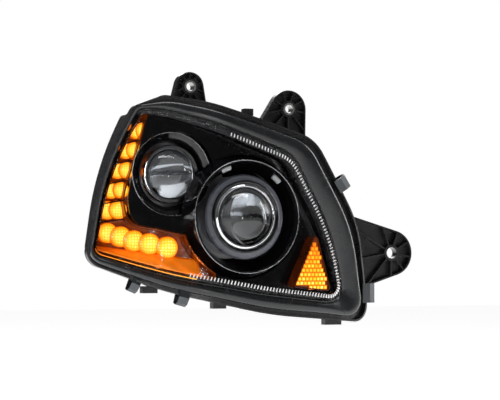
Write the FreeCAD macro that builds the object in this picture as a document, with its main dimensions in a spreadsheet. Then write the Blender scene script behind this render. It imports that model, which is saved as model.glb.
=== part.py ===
import FreeCAD, Part
import math
import os
import Sketcher

# Twin-projector truck headlight.  Millimetres, +Z up, the front faces -Y, +X is to the viewer's right.
# The origin is the centre of the upper left ear's bore.  Shapes are drawn about the low-beam axis
# (the "lamp frame": y = 0 at the base of the low-beam shroud) and then moved to the bore.

SIZES = [
    ("low_axis_right", 61), ("low_axis_ahead", 32), ("low_axis_down", 170),
    ("high_axis_left", 92), ("high_axis_up", 54.6),
    ("front_arc", 420), ("front_arc_right", 40), ("front_arc_back", 375),
    ("wrap_start_left", 110), ("front_wrap_arc", 100), ("front_wrap_turn", 40),
    ("seat_behind_front", 22), ("seat_wrap_arc", 300), ("seat_wrap_turn", 32),
    ("bezel_arc", 1200), ("bezel_arc_right", 60), ("bezel_crown", 4), ("bezel_thick", 2.5),
    ("bezel_inset", 6), ("bezel_wall", 1.5), ("bezel_wall_setback", 12),
    ("lens_wall", 3.2), ("lens_rounding", 9), ("seal_rounding", 0.4),
    ("flange_front", 8), ("flange_back", 12), ("flange_lip", 2.5), ("lip_front", 2),
    ("seal_start", 0.24), ("seal_end", 0.62), ("seal_proud", 5),
    ("tub_inset", 1), ("tub_wall", 3), ("tub_knee", 80), ("tub_depth", 132), ("tub_taper", 0.84),
    ("ear_front", 26), ("ear_back", 38), ("ear_web", 3), ("ear_rib", 2), ("ear_boss", 11),
    ("sleeve_outer", 8), ("sleeve_bore", 5.5), ("side_bore", 7.5),
    ("low_lens_radius", 38), ("low_lens_edge", 4), ("low_lens_crown", 22), ("low_lens_back", 8),
    ("low_trim_radius", 55), ("low_holder_radius", 42), ("low_flange_radius", 50),
    ("shroud_base_radius", 81), ("shroud_front_radius", 73), ("shroud_length", 21),
    ("shroud_throat", 61), ("shroud_skirt", 8), ("bezel_gap", 0.4),
    ("high_lens_radius", 32.5), ("high_lens_edge", 3.5), ("high_lens_crown", 17), ("high_lens_back", 20.5),
    ("high_trim_radius", 38), ("high_holder_radius", 36), ("high_flange_radius", 43),
    ("high_step_radius", 54), ("high_throat", 41.5),
    ("carrier_front", 45), ("carrier_thick", 3), ("low_plate_radius", 54), ("high_plate_radius", 47),
    ("pivot_radius", 4), ("pivot_play", 0.05), ("pivot_up", 22),
    ("low_bowl_mouth", 38), ("high_bowl_mouth", 31), ("bowl_neck", 9), ("bowl_past_axis", 12),
    ("bowl_wall", 1.6), ("bulb_base_radius", 17), ("bulb_radius", 5),
    ("low_port_radius", 46), ("high_port_radius", 40), ("port_wall", 3), ("port_length", 16),
    ("cap_wall", 2.5), ("cap_play", 0.5),
    ("dome_radius", 10), ("dome_crown", 5), ("dome_setback", 29),
    ("optic_setback", 37), ("optic_thick", 3), ("chip_thick", 2), ("chip_wide", 5), ("board_setback", 42.5),
    ("board_thick", 1.6), ("trough_setback", 46), ("trough_lip", 17), ("trough_wall", 1.5),
    ("marker_setback", 19), ("marker_thick", 3.5), ("marker_depth", 42),
    ("screw_radius", 3), ("screw_left", 95), ("screw_down", 35), ("nut_play", 1.2), ("knob_radius", 13),
    ("plug_wide", 34), ("plug_tall", 18), ("plug_long", 20), ("plug_wall", 2),
]

ALONG_Y = FreeCAD.Rotation(FreeCAD.Vector(1, 0, 0), -90)
ALONG_X = FreeCAD.Rotation(FreeCAD.Vector(0, 1, 0), 90)
REACH = 320

doc = FreeCAD.newDocument("headlight")
sheet = doc.addObject("Spreadsheet::Sheet", "sizes")
for row, (alias, value) in enumerate(SIZES, start=1):
    sheet.set(f"A{row}", alias)
    sheet.set(f"B{row}", str(value))
    sheet.setAlias(f"B{row}", alias)
doc.recompute()
subparts = []


def size(alias):
    """The number held in the sheet under this alias."""
    return float(sheet.get(alias))


def amount(text):
    """Works out a sum such as 'low_lens_back - 3', left to right; plain numbers pass through."""
    if not isinstance(text, str):
        return float(text)
    total = 0.0
    sign = 1.0
    for word in text.split():
        if word in ("+", "-"):
            sign = 1.0 if word == "+" else -1.0
        else:
            total += sign * (float(word) if word[0].isdigit() else size(word))
    return total


def bound(text):
    """The same sum as an expression on the sheet."""
    words = text.split()
    return " ".join(w if w in ("+", "-") or w[0].isdigit() else f"sizes.{w}" for w in words)


HIGH_X = -size("high_axis_left")
HIGH_Z = size("high_axis_up")
SCREW_X = -size("screw_left")
SCREW_Z = -size("screw_down")
CARRIER_BACK = amount("carrier_front + carrier_thick")
PORT_END = amount("tub_depth + port_length")
LAMP = FreeCAD.Vector(size("low_axis_right"), -size("low_axis_ahead"), -size("low_axis_down"))


def keep(item, label):
    """Names a finished sub-part and moves it from the lamp frame to the bore's frame."""
    item.Label = label
    item.Placement = FreeCAD.Placement(LAMP, FreeCAD.Rotation()).multiply(item.Placement)
    subparts.append(item)
    return item


def shaped(label, shape):
    """A sub-part whose shape is worked out in code from the sheet's sizes."""
    item = doc.addObject("Part::Feature", label)
    item.Shape = shape
    return keep(item, label)


def set_sizes(item, pairs):
    """Ties each property given as text to the sheet and sets the others."""
    for prop, value in pairs:
        if isinstance(value, str):
            item.setExpression(prop, bound(value))
        else:
            setattr(item, prop, value)


def cylinder(name, radius, length, x, y, z, turn=ALONG_Y):
    """A cylinder from (x, y, z) towards the back, or along another turned axis."""
    item = doc.addObject("Part::Cylinder", name)
    set_sizes(item, (("Radius", radius), ("Height", length)))
    item.Placement = FreeCAD.Placement(FreeCAD.Vector(x, y, z), turn)
    return item


def block(name, wide, deep, tall, x, y, z):
    """A box centred on x and z that starts at y and runs back."""
    item = doc.addObject("Part::Box", name)
    set_sizes(item, (("Length", wide), ("Width", deep), ("Height", tall)))
    corner = FreeCAD.Vector(x - amount(wide) / 2, y, z - amount(tall) / 2)
    item.Placement = FreeCAD.Placement(corner, FreeCAD.Rotation())
    return item


def fused(name, items):
    item = doc.addObject("Part::MultiFuse", name)
    item.Shapes = items
    return item


def cut(name, base, tool):
    item = doc.addObject("Part::Cut", name)
    item.Base = base
    item.Tool = tool
    return item


def tube(name, outer, inner, length, x, y, z, turn=ALONG_Y):
    """A plain sleeve."""
    return cut(name, cylinder(name + "_outer", outer, length, x, y, z, turn),
               cylinder(name + "_bore", inner, length, x, y, z, turn))


def draw(sketch, points):
    """Closes a profile of lines and arcs in a sketch.

    Each point is (radius, depth), or (radius, depth, mid radius, mid depth) where an arc through the
    middle point arrives at it.  A coordinate given as text is tied to the sheet.
    """
    spots = [FreeCAD.Vector(amount(p[0]), amount(p[1]), 0) for p in points]
    for i, point in enumerate(points):
        if len(point) == 4:
            middle = FreeCAD.Vector(amount(point[2]), amount(point[3]), 0)
            leftwards = (middle - spots[i - 1]).cross(spots[i] - middle).z > 0
            ends = (spots[i - 1], spots[i]) if leftwards else (spots[i], spots[i - 1])
            sketch.addGeometry(Part.Arc(ends[0], middle, ends[1]), False)
        else:
            sketch.addGeometry(Part.LineSegment(spots[i - 1], spots[i]), False)
    last = []
    for i, spot in enumerate(spots):
        edge = sketch.Geometry[i]
        ends_here = edge.EndPoint.distanceToPoint(spot) < edge.StartPoint.distanceToPoint(spot)
        last.append(2 if ends_here else 1)
    for i, point in enumerate(points):
        after = (i + 1) % len(points)
        sketch.addConstraint(Sketcher.Constraint("Coincident", i, last[i], after, 3 - last[after]))
        for kind, text in (("DistanceX", point[0]), ("DistanceY", point[1])):
            if isinstance(text, str):
                here = sketch.addConstraint(Sketcher.Constraint(kind, -1, 1, i, last[i], amount(text)))
                sketch.setExpression(f"Constraints[{here}]", bound(text))


def turned(name, x, z, points):
    """A body of revolution about the axis along Y at (x, z), from (radius, depth) points."""
    body = doc.addObject("PartDesign::Body", name)
    sketch = body.newObject("Sketcher::SketchObject", name + "_profile")
    plane = [f for f in body.Origin.OriginFeatures if f.Role == "XY_Plane"][0]
    sketch.AttachmentSupport = [(plane, "")]
    sketch.MapMode = "FlatFace"
    draw(sketch, points)
    spin = body.newObject("PartDesign::Revolution", name + "_turn")
    spin.Profile = (sketch, [""])
    spin.ReferenceAxis = (sketch, ["V_Axis"])
    spin.Angle = 360
    body.Placement = FreeCAD.Placement(FreeCAD.Vector(x, 0, z), FreeCAD.Rotation())
    return body


# --- the two families of surfaces that the lamp is built from -------------------------------------

# Corners (right, up, rounding) of the lens edge and of the rim's outer edge, clockwise from top left.
LENS_CORNERS = [(-136.5, 138, 12), (-104, 133, 200), (-40, 115, 400), (58, 78, 45), (120, -28, 300),
                (137, -112, 20), (20, -99, 600), (-110, -76, 500), (-189, -48, 14), (-173, 62, 400)]
RIM_CORNERS = [(-141, 142, 15), (-106, 156, 16), (-50, 148, 300), (100, 103, 60), (173, -10, 150),
               (191, -140, 22), (30, -127, 500), (-105, -97, 400), (-195, -59, 22), (-178.5, 64, 400)]
# The gloss-black island's edge along the turn signal, and the side marker's rounded triangle.
ISLAND_CORNERS = [(-118, 165, 5), (-152, 24, 60), (-147, -9, 22), (-80, -24, 40), (-40, -31, 5),
                  (REACH, -31, 5), (REACH, 165, 5)]
MARKER_CORNERS = [(97, -18, 4), (63, -91, 4), (121, -97, 5)]


def rounded(corners, y=0):
    """A closed wire facing the front, with every corner rounded by an arc."""
    edges = []
    joins = []
    for i, (x, z, radius) in enumerate(corners):
        here = FreeCAD.Vector(x, y, z)
        before = FreeCAD.Vector(corners[i - 1][0], y, corners[i - 1][1])
        nxt = corners[(i + 1) % len(corners)]
        after = FreeCAD.Vector(nxt[0], y, nxt[1])
        to_before = (before - here).normalize()
        to_after = (after - here).normalize()
        half = to_before.getAngle(to_after) / 2
        reach = radius / math.tan(half)
        centre = here + (to_before + to_after).normalize() * (radius / math.sin(half))
        middle = centre + (here - centre).normalize() * radius
        joins.append((here + to_before * reach, middle, here + to_after * reach))
    for i, (start, middle, end) in enumerate(joins):
        edges.append(Part.LineSegment(joins[i - 1][2], start).toShape())
        edges.append(Part.Arc(start, middle, end).toShape())
    return Part.Wire(edges)


def rim_corners(spread, scale=1.0):
    """Corners between the lens edge (spread 0) and the rim's outer edge (spread 1)."""
    corners = []
    for near, far in zip(LENS_CORNERS, RIM_CORNERS):
        corners.append(tuple(scale * (a + spread * (b - a)) for a, b in zip(near, far)))
    return corners


def prism(corners, inset=0, start=-REACH, length=2 * REACH):
    """The outline pushed straight back, after moving it inwards by the inset."""
    wire = rounded(corners, start)
    if inset:
        wire = wire.makeOffset2D(-inset)
    return Part.Face(wire).extrude(FreeCAD.Vector(0, length, 0))


def plan_edges(surface, shift, inset=0):
    """Plan view of a front surface, from left to right: a flank, the wrap's arc, then the main arc."""
    wrap_arc = size(surface + "_wrap_arc")
    turn = math.radians(size(surface + "_wrap_turn"))
    main_arc = size("front_arc")
    centre_x = size("front_arc_right")
    centre_y = size("front_arc_back") + shift
    start = math.asin((centre_x + size("wrap_start_left")) / main_arc)
    wrap_x = centre_x - (main_arc - wrap_arc) * math.sin(start)
    wrap_y = centre_y - (main_arc - wrap_arc) * math.cos(start)

    def on(x, y, radius, angle):
        return FreeCAD.Vector(x - radius * math.sin(angle), y - radius * math.cos(angle), -REACH)

    flank_end = on(wrap_x, wrap_y, wrap_arc - inset, turn)
    run = flank_end.x + REACH
    flank_start = FreeCAD.Vector(-REACH, flank_end.y + run * math.tan(turn), -REACH)
    join = on(wrap_x, wrap_y, wrap_arc - inset, start)
    far = -math.asin((REACH - centre_x) / (main_arc - inset))
    last = on(centre_x, centre_y, main_arc - inset, far)
    return [
        Part.LineSegment(flank_start, flank_end).toShape(),
        Part.Arc(flank_end, on(wrap_x, wrap_y, wrap_arc - inset, (turn + start) / 2), join).toShape(),
        Part.Arc(join, on(centre_x, centre_y, main_arc - inset, (start + far) / 2), last).toShape(),
    ]


def bezel_edges(shift):
    """Plan view of the island's gentle arc."""
    radius = size("bezel_arc")
    centre_x = size("bezel_arc_right")
    centre_y = radius - size("bezel_crown") + shift

    def on(x):
        return FreeCAD.Vector(x, centre_y - math.sqrt(radius ** 2 - (x - centre_x) ** 2), -REACH)

    return [Part.Arc(on(-REACH), on(0), on(REACH)).toShape()]


def slab(front, back):
    """Everything between two plan curves, from below the lamp to above it."""
    left = Part.LineSegment(back[0].firstVertex().Point, front[0].firstVertex().Point).toShape()
    right = Part.LineSegment(front[-1].lastVertex().Point, back[-1].lastVertex().Point).toShape()
    face = Part.Face(Part.Wire(Part.__sortEdges__([left, right] + front + back)))
    return face.extrude(FreeCAD.Vector(0, 0, 2 * REACH))


def between(surface, near, far):
    """The slab between two setbacks from the same front surface."""
    return slab(plan_edges(surface, near), plan_edges(surface, far))


def front_depth(x):
    """How far back the lens's front surface lies at this x."""
    line = Part.LineSegment(FreeCAD.Vector(x, -REACH, -REACH), FreeCAD.Vector(x, REACH * 2, -REACH)).toShape()
    return min(edge.distToShape(line)[1][0][0].y for edge in plan_edges("front", 0)
               if edge.distToShape(line)[0] < 1e-6)


SEAT = size("seat_behind_front")
RIM = rim_corners(1)
EDGE = rim_corners(0)


# --- housing, ears and seals ----------------------------------------------------------------------

# Each ear: bore (right, up), tip radius, the two feet (right, up) on the tub, and its rib count.
EARS = [
    ((-61, 170), 19, ((-94, 118), (-30, 100)), 10),
    ((81, 145.5), 25, ((18, 92), (104, 8)), 9),
    ((236, -46), 31, ((112, 22), (132, -112)), 9),
]


def tangent_spot(centre, radius, foot, side):
    """Where the straight edge from a foot touches the ear's round tip."""
    dx, dz = foot[0] - centre[0], foot[1] - centre[1]
    away = math.atan2(dz, dx)
    swing = math.acos(radius / math.hypot(dx, dz))
    angle = away + side * swing
    return (centre[0] + radius * math.cos(angle), centre[1] + radius * math.sin(angle))


def ear_outline(ear, inset):
    """The ear's solid outline, full depth, shrunk by the inset."""
    (cx, cz), radius, (first, second), ribs = ear
    y = size("ear_front")
    tips = [tangent_spot((cx, cz), radius, first, -1), tangent_spot((cx, cz), radius, second, 1)]
    flat = [first, tips[0], (cx, cz), tips[1], second]
    points = [FreeCAD.Vector(px, y, pz) for px, pz in flat]
    depth = FreeCAD.Vector(0, amount("ear_back - ear_front"), 0)
    web = Part.Face(Part.makePolygon(points + points[:1])).extrude(depth)
    tip = Part.makeCylinder(radius, depth.y, FreeCAD.Vector(cx, y, cz), FreeCAD.Vector(0, 1, 0))
    solid = web.fuse(tip).removeSplitter()
    if inset:
        face = [f for f in solid.Faces if f.normalAt(0, 0).y < -0.9 and abs(f.CenterOfMass.y - y) < 0.01][0]
        solid = Part.Face(face.OuterWire.makeOffset2D(-inset)).extrude(depth)
    return solid


def ear_shape(ear):
    """A web at the back, a wall round the edge, a boss, and ribs that fan out from the boss."""
    (cx, cz), radius, feet, ribs = ear
    front = size("ear_front")
    depth = amount("ear_back - ear_front")
    outer = ear_outline(ear, 0)
    pocket = ear_outline(ear, size("ear_rib"))
    pocket.translate(FreeCAD.Vector(0, -size("ear_web"), 0))
    centre = FreeCAD.Vector(cx, front, cz)
    boss = Part.makeCylinder(size("ear_boss"), depth, centre, FreeCAD.Vector(0, 1, 0))
    fan = boss
    for i in range(ribs):
        rib = Part.makeBox(2 * REACH, depth - 1, size("ear_rib"))
        rib.translate(FreeCAD.Vector(0, front + 1, -size("ear_rib") / 2))
        rib.rotate(FreeCAD.Vector(0, 0, 0), FreeCAD.Vector(0, 1, 0), 90 + 360 * i / ribs)
        rib.translate(FreeCAD.Vector(cx, 0, cz))
        fan = fan.fuse(rib)
    return outer.cut(pocket).fuse(fan.common(outer))


def ears_with_bores():
    """The three ears, trimmed clear of the tub's inside, with their bores."""
    inside = prism(EDGE, amount("tub_inset + tub_wall") - 1)
    ears = []
    bores = (size("sleeve_outer"), size("sleeve_outer"), size("side_bore"))
    for ear, bore in zip(EARS, bores):
        (cx, cz) = ear[0]
        hole = Part.makeCylinder(bore, REACH, FreeCAD.Vector(cx, 0, cz), FreeCAD.Vector(0, 1, 0))
        ears.append(ear_shape(ear).cut(inside).cut(hole))
    return ears


def tub_shell():
    """The tub: straight walls behind the flange, then a taper to a flat back wall."""
    knee = size("tub_knee")
    depth = size("tub_depth")
    wall = size("tub_wall")
    inset = size("tub_inset")
    taper = size("tub_taper")

    def tapered(extra, end):
        near = rounded(EDGE, knee).makeOffset2D(-(inset + extra))
        far = rounded(rim_corners(0, taper), end).makeOffset2D(-(inset + extra) * taper)
        return Part.makeLoft([near, far], True, True)

    front = slab(plan_edges("seat", SEAT + size("flange_front")), flat_edges(knee))
    walls = prism(EDGE, inset).common(front).cut(prism(EDGE, inset + wall))
    bowl = tapered(0, depth).cut(tapered(wall, depth - wall))
    return walls.fuse(bowl)


def flat_edges(y):
    """Plan view of a flat plane across the lamp."""
    return [Part.LineSegment(FreeCAD.Vector(-REACH, y, -REACH), FreeCAD.Vector(REACH, y, -REACH)).toShape()]


def flange():
    """The sloping rim round the lens, with a raised lip along its outer edge."""
    plate = prism(RIM).common(between("seat", SEAT + size("flange_front"), SEAT + size("flange_back")))
    lip = prism(RIM).cut(prism(RIM, size("flange_lip")))
    lip = lip.common(between("seat", SEAT + size("lip_front"), SEAT + size("flange_back")))
    return plate.fuse(lip).cut(prism(EDGE, amount("tub_inset + tub_wall")))


def rim_lugs():
    """Small latch lugs that stand out from under the flange."""
    lugs = []
    for x, z, wide in ((-119, -94, 20), (-33, -114, 18), (132, -137, 24), (6, 136, 12)):
        start = front_depth(x) + SEAT + size("flange_front") + 1
        lug = Part.makeBox(wide, 12, 9, FreeCAD.Vector(x - wide / 2, start, z - 4.5))
        lugs.append(lug)
    return lugs


def rear_collars():
    """Collars for the two bulb ports, the screw's boss and the vents' stubs."""
    start = amount("tub_depth - tub_wall")
    length = size("port_length") + size("tub_wall")
    wall = size("port_wall")
    ports = ((0, 0, size("low_port_radius")), (HIGH_X, HIGH_Z, size("high_port_radius")))
    y_axis = FreeCAD.Vector(0, 1, 0)
    collars = [Part.makeCylinder(r + wall, length, FreeCAD.Vector(x, start, z), y_axis) for x, z, r in ports]
    holes = [Part.makeCylinder(r, REACH, FreeCAD.Vector(x, start - 20, z), y_axis) for x, z, r in ports]
    screw_seat = FreeCAD.Vector(SCREW_X, start, SCREW_Z)
    collars.append(Part.makeCylinder(9, size("tub_wall") + 5, screw_seat, y_axis))
    screw_hole = size("screw_radius") + size("pivot_play")
    holes.append(Part.makeCylinder(screw_hole, REACH, FreeCAD.Vector(SCREW_X, start - 20, SCREW_Z), y_axis))
    return collars, holes


def make_housing():
    collars, holes = rear_collars()
    whole = tub_shell().fuse([flange()] + rim_lugs() + collars + ears_with_bores())
    for hole in holes:
        whole = whole.cut(hole)
    shaped("housing", whole)


def round_front(solid, radius):
    """Rounds the edges where a forward-facing surface meets the straight-back walls."""
    edges = []
    for edge in solid.Edges:
        middle = edge.valueAt((edge.FirstParameter + edge.LastParameter) / 2)
        tilts = []
        for face in solid.ancestorsOfType(edge, Part.Face):
            tilts.append(face.normalAt(*face.Surface.parameter(middle)).y)
        if min(tilts) < -0.5 and abs(max(tilts)) < 0.1:
            edges.append(edge)
    return solid.makeFillet(radius, edges)


def make_lens_cover():
    rounding = size("lens_rounding")
    wall = size("lens_wall")
    outer = prism(EDGE).common(slab(plan_edges("front", 0), plan_edges("seat", SEAT + size("flange_front"))))
    hollow = prism(EDGE, wall).common(slab(plan_edges("front", 0, wall), flat_edges(REACH)))
    shaped("lens_cover", round_front(outer, rounding).cut(round_front(hollow, rounding - wall)))


def seal_band():
    """The rubber bead between the lens and the flange's lip."""
    band = prism(rim_corners(size("seal_end"))).cut(prism(rim_corners(size("seal_start"))))
    band = band.common(between("seat", SEAT - size("seal_proud"), SEAT + size("flange_front")))
    return band.common(prism(RIM, size("flange_lip") + 0.2))


def make_rim_seal():
    shaped("rim_seal", round_front(seal_band(), size("seal_rounding")))


def make_sleeves():
    start = size("ear_front") - 1
    length = amount("ear_back - ear_front") + 2
    rings = []
    for i, ear in enumerate(EARS[:2]):
        (cx, cz) = ear[0]
        rings.append(tube(f"sleeve_{i}", "sleeve_outer", "sleeve_bore", length, cx, start, cz))
    keep(fused("ear_sleeves", rings), "ear_sleeves")


def clip_shape(x, z, outward, wide):
    """A bent spring strip that hooks over the flange's edge; outward is its direction in degrees."""
    start = front_depth(x) + SEAT
    strip = [(-7, 0), (3, -2), (11, 1), (14, 7), (12, 15), (-7, 17), (-7, 15.8), (11, 13.8), (12.6, 7),
             (10.2, 2), (2.8, -0.6), (-7, 1.2)]
    points = [FreeCAD.Vector(r, y, -wide / 2) for r, y in strip]
    clip = Part.Face(Part.makePolygon(points + points[:1])).extrude(FreeCAD.Vector(0, 0, wide))
    clip.rotate(FreeCAD.Vector(0, 0, 0), FreeCAD.Vector(0, 1, 0), -outward)
    clip.translate(FreeCAD.Vector(x, start, z))
    return clip


def make_clips():
    """Spring clips that hold the lens cover to the housing."""
    places = ((141, 44, 33, 18), (187, -100, 0, 26), (-137, -84, -112, 12), (-81, -101, -105, 14))
    covered = flange().fuse([seal_band()] + rim_lugs())
    clips = [clip_shape(*place).cut(covered) for place in places]
    shaped("lens_clips", Part.makeCompound([max(clip.Solids, key=lambda s: s.Volume) for clip in clips]))


# --- inner bezel, shroud and turn signal ----------------------------------------------------------

def signal_region(inset):
    """The L-shaped strip down the left and along the bottom, pushed back, shrunk by the inset."""
    y_axis = FreeCAD.Vector(0, 1, 0)
    clear = size("shroud_base_radius") + 4
    round_gap = Part.makeCylinder(clear + inset, 2 * REACH, FreeCAD.Vector(0, -REACH, 0), y_axis)
    grown = rounded(ISLAND_CORNERS, -REACH).makeOffset2D(inset) if inset else rounded(ISLAND_CORNERS, -REACH)
    island = Part.Face(grown).extrude(FreeCAD.Vector(0, 2 * REACH, 0))
    right = Part.makeBox(REACH, 2 * REACH, 2 * REACH, FreeCAD.Vector(-44 - inset, -REACH, -REACH))
    return prism(EDGE, size("bezel_inset") + inset).cut(island).cut(round_gap).cut(right)


def make_inner_bezel():
    thick = size("bezel_thick")
    inset = size("bezel_inset")
    wall = size("bezel_wall")
    plate = prism(EDGE, inset).common(slab(bezel_edges(0), bezel_edges(thick)))
    rim = prism(EDGE, inset).cut(prism(EDGE, inset + wall))
    rim = rim.common(slab(plan_edges("front", size("bezel_wall_setback")), bezel_edges(thick)))
    right_side = Part.makeBox(2 * REACH, 2 * REACH, 2 * REACH, FreeCAD.Vector(-122, -REACH, -REACH))
    y_axis = FreeCAD.Vector(0, 1, 0)
    gap = size("bezel_gap")
    low = Part.makeCylinder(size("shroud_base_radius") + gap, REACH, FreeCAD.Vector(0, -REACH / 2, 0), y_axis)
    high_hole = size("high_step_radius") + gap
    high = Part.makeCylinder(high_hole, REACH, FreeCAD.Vector(HIGH_X, -REACH / 2, HIGH_Z), y_axis)
    whole = plate.fuse(rim.common(right_side)).cut(signal_region(-gap)).cut(low).cut(high)
    whole = whole.cut(prism(MARKER_CORNERS, -gap))
    shaped("inner_bezel", max(whole.Solids, key=lambda s: s.Volume))


def make_shroud():
    base = "shroud_base_radius"
    points = [(base, 6), (base, 0), ("shroud_front_radius", -size("shroud_length")),
              ("shroud_front_radius - 2.5", -size("shroud_length")), ("shroud_throat", 4),
              ("shroud_throat", "shroud_skirt"), ("shroud_throat + 2.2", "shroud_skirt"),
              ("shroud_throat + 2.2", 4.5), ("shroud_front_radius - 1.4", -17.5),
              (base + " - 2.5", 0.8), (base + " - 2.5", 6)]
    keep(turned("low_shroud", 0, 0, points), "low_beam_shroud")


def make_high_surround():
    edge = "high_step_radius"
    throat = "high_throat"
    points = [(edge, 12.5), (edge, 15), (edge + " - 1.5", 15), (throat + " + 3", 18.6),
              (throat + " + 1.5", 26), (throat, 26), (throat + " + 1.4", 17), (throat + " + 2", 14.5),
              (throat + " + 3.5", 14.5), (throat + " + 4", 16.4), (edge + " - 1.5", 12.5)]
    keep(turned("high_step", HIGH_X, HIGH_Z, points), "high_beam_surround")


def dome_places():
    """Centres (right, up) of the turn signal's domes: pairs up the column, then the bottom row."""
    places = []
    rows = 5
    for i in range(rows):
        up = 8 + 25.5 * i
        outer = -167 + 1.2 * i + 1.25 * i * i
        places.append((outer, up))
        places.append((outer + 11 - 0.8 * i, up + 0.5))
    for x, up in ((-165, -22), (-151, -27), (-137, -32), (-120, -36.5), (-99, -41)):
        places.append((x, up))
    return places


def dome(x, z):
    """One lens dome of the turn signal: a rounded nose on a long barrel."""
    radius = size("dome_radius")
    crown = size("dome_crown")
    ball = (radius ** 2 + crown ** 2) / (2 * crown)
    half = math.asin(radius / ball) / 2
    tip = FreeCAD.Vector(x, front_depth(x) + size("dome_setback"), z)

    def at(right, back):
        return tip + FreeCAD.Vector(right, back, 0)

    nose = Part.Arc(tip, at(ball * math.sin(half), ball * (1 - math.cos(half))), at(radius, crown)).toShape()
    barrel = Part.makePolygon([at(radius, crown), at(radius, REACH / 4), at(0, REACH / 4), tip])
    turned_round = Part.Face(Part.Wire([nose] + barrel.Edges)).revolve(tip, FreeCAD.Vector(0, 1, 0), 360)
    return Part.Solid(Part.Shell(turned_round.Faces))


def make_turn_signal():
    depth = size("trough_setback")
    wall = size("trough_wall")
    shell = signal_region(0).common(between("front", size("trough_lip"), depth))
    hollow = signal_region(wall).common(between("front", size("trough_lip") - 1, depth - wall))
    shaped("turn_signal_reflector", shell.cut(hollow))

    room = signal_region(wall + 0.3)
    start = size("optic_setback")
    plate = room.common(between("front", start, start + size("optic_thick")))
    domes = [dome(x, z) for x, z in dome_places()]
    group = domes[0].fuse(domes[1:]).common(room)
    group = group.common(slab(flat_edges(-REACH / 2), plan_edges("front", start + 1)))
    shaped("turn_signal_optic", plate.fuse(group).removeSplitter())

    board = size("board_setback")
    room = signal_region(wall + 1)
    shaped("turn_signal_board", room.common(between("front", board, board + size("board_thick"))))
    layer = room.common(between("front", board - size("chip_thick"), board))
    wide = size("chip_wide")
    chips = [Part.makeBox(wide, 2 * REACH, wide,
                          FreeCAD.Vector(x - wide / 2, -REACH, z - wide / 2)).common(layer)
             for x, z in dome_places()]
    whole = 0.7 * wide ** 2 * size("chip_thick")
    shaped("turn_signal_leds", Part.makeCompound([chip for chip in chips if chip.Volume > whole]))


def make_side_marker():
    near = size("marker_setback")
    deep = size("marker_depth")
    wall = size("trough_wall")
    shell = prism(MARKER_CORNERS).common(between("front", near - 2, deep))
    hollow = prism(MARKER_CORNERS, wall).common(between("front", near - 3, deep - wall))
    shaped("side_marker_housing", shell.cut(hollow))
    room = prism(MARKER_CORNERS, wall + 0.3)
    shaped("side_marker_reflector", room.common(between("front", near, near + size("marker_thick"))))
    board = deep - wall - size("board_thick") - 1
    shaped("side_marker_board", room.common(between("front", board, board + size("board_thick"))))
    layer = between("front", board - size("chip_thick"), board)
    chips = []
    for x, z in ((96, -50), (86, -80), (108, -80)):
        chips.append(Part.makeBox(4, 2 * REACH, 4, FreeCAD.Vector(x - 2, -REACH, z - 2)).common(layer))
    shaped("side_marker_leds", Part.makeCompound(chips))


# --- projectors -----------------------------------------------------------------------------------

def make_glass(name, beam, x, z, back):
    """A plano-convex projector lens; back is the depth of its flat rear face."""
    radius = size(beam + "_lens_radius")
    crown = size(beam + "_lens_crown")
    ball = (radius ** 2 + crown ** 2) / (2 * crown)
    half = math.asin(radius / ball) / 2
    edge = back - size(beam + "_lens_edge")
    peak = edge - crown
    points = [(0, back), (0, peak),
              (beam + "_lens_radius", edge, ball * math.sin(half), peak + ball * (1 - math.cos(half))),
              (beam + "_lens_radius", back)]
    keep(turned(name, x, z, points), name)


def make_low_projector():
    back = -size("low_lens_back")
    make_glass("low_beam_lens", "low", 0, 0, back)
    ring = "low_holder_radius"
    glass = "low_lens_radius"
    points = [(glass + " + 0.1", back - 7), (ring, back - 7), (ring, "carrier_front - 3"),
              ("low_flange_radius", "carrier_front - 3"), ("low_flange_radius", "carrier_front"),
              (ring + " - 3", "carrier_front"), (ring + " - 3", back + 5), (glass + " - 4", back + 5),
              (glass + " - 4", back), (glass + " + 0.1", back)]
    keep(turned("low_holder", 0, 0, points), "low_beam_lens_holder")
    points = [(ring + " + 0.1", -14.5), ("low_trim_radius - 2", -13), ("low_trim_radius", -10.5),
              ("low_trim_radius", -6), (ring + " + 0.1", -6)]
    keep(turned("low_trim", 0, 0, points), "low_beam_trim_ring")
    make_bowl("low_beam_reflector", 0, 0, size("low_bowl_mouth"))
    plate = cylinder("shield_disc", "low_holder_radius - 3.2", 1.2, 0, size("carrier_front") - 4, 0)
    upper = block("shield_open", 100, 10, 100, 0, size("carrier_front") - 8, 51)
    keep(cut("shield", plate, upper), "cutoff_shield")
    make_bulb("low_bulb", 0, 0, CARRIER_BACK + bowl_depth(size("low_bowl_mouth")) + 5)


def make_high_projector():
    back = size("high_lens_back")
    make_glass("high_beam_lens", "high", HIGH_X, HIGH_Z, back)
    ring = "high_holder_radius"
    glass = "high_lens_radius"
    points = [(glass + " + 0.1", 16.4), (ring, 16.4), (ring, "carrier_front - 3"),
              ("high_flange_radius", "carrier_front - 3"), ("high_flange_radius", "carrier_front"),
              (ring + " - 3", "carrier_front"), (ring + " - 3", "high_lens_back + 2"),
              (glass + " - 4", "high_lens_back + 2"), (glass + " - 4", "high_lens_back"),
              (glass + " + 0.1", "high_lens_back")]
    keep(turned("high_holder", HIGH_X, HIGH_Z, points), "high_beam_lens_holder")
    points = [(glass + " + 0.4", 16), (glass + " + 1", 12.5), ("high_trim_radius - 1.5", 12.5),
              ("high_trim_radius", 14.5), ("high_trim_radius", 24),
              (ring + " + 0.1", 24), (ring + " + 0.1", 16)]
    keep(turned("high_trim", HIGH_X, HIGH_Z, points), "high_beam_trim_ring")
    make_bowl("high_beam_reflector", HIGH_X, HIGH_Z, size("high_bowl_mouth"))
    make_bulb("high_bulb", HIGH_X, HIGH_Z, CARRIER_BACK + bowl_depth(size("high_bowl_mouth")) + 5)


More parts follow.
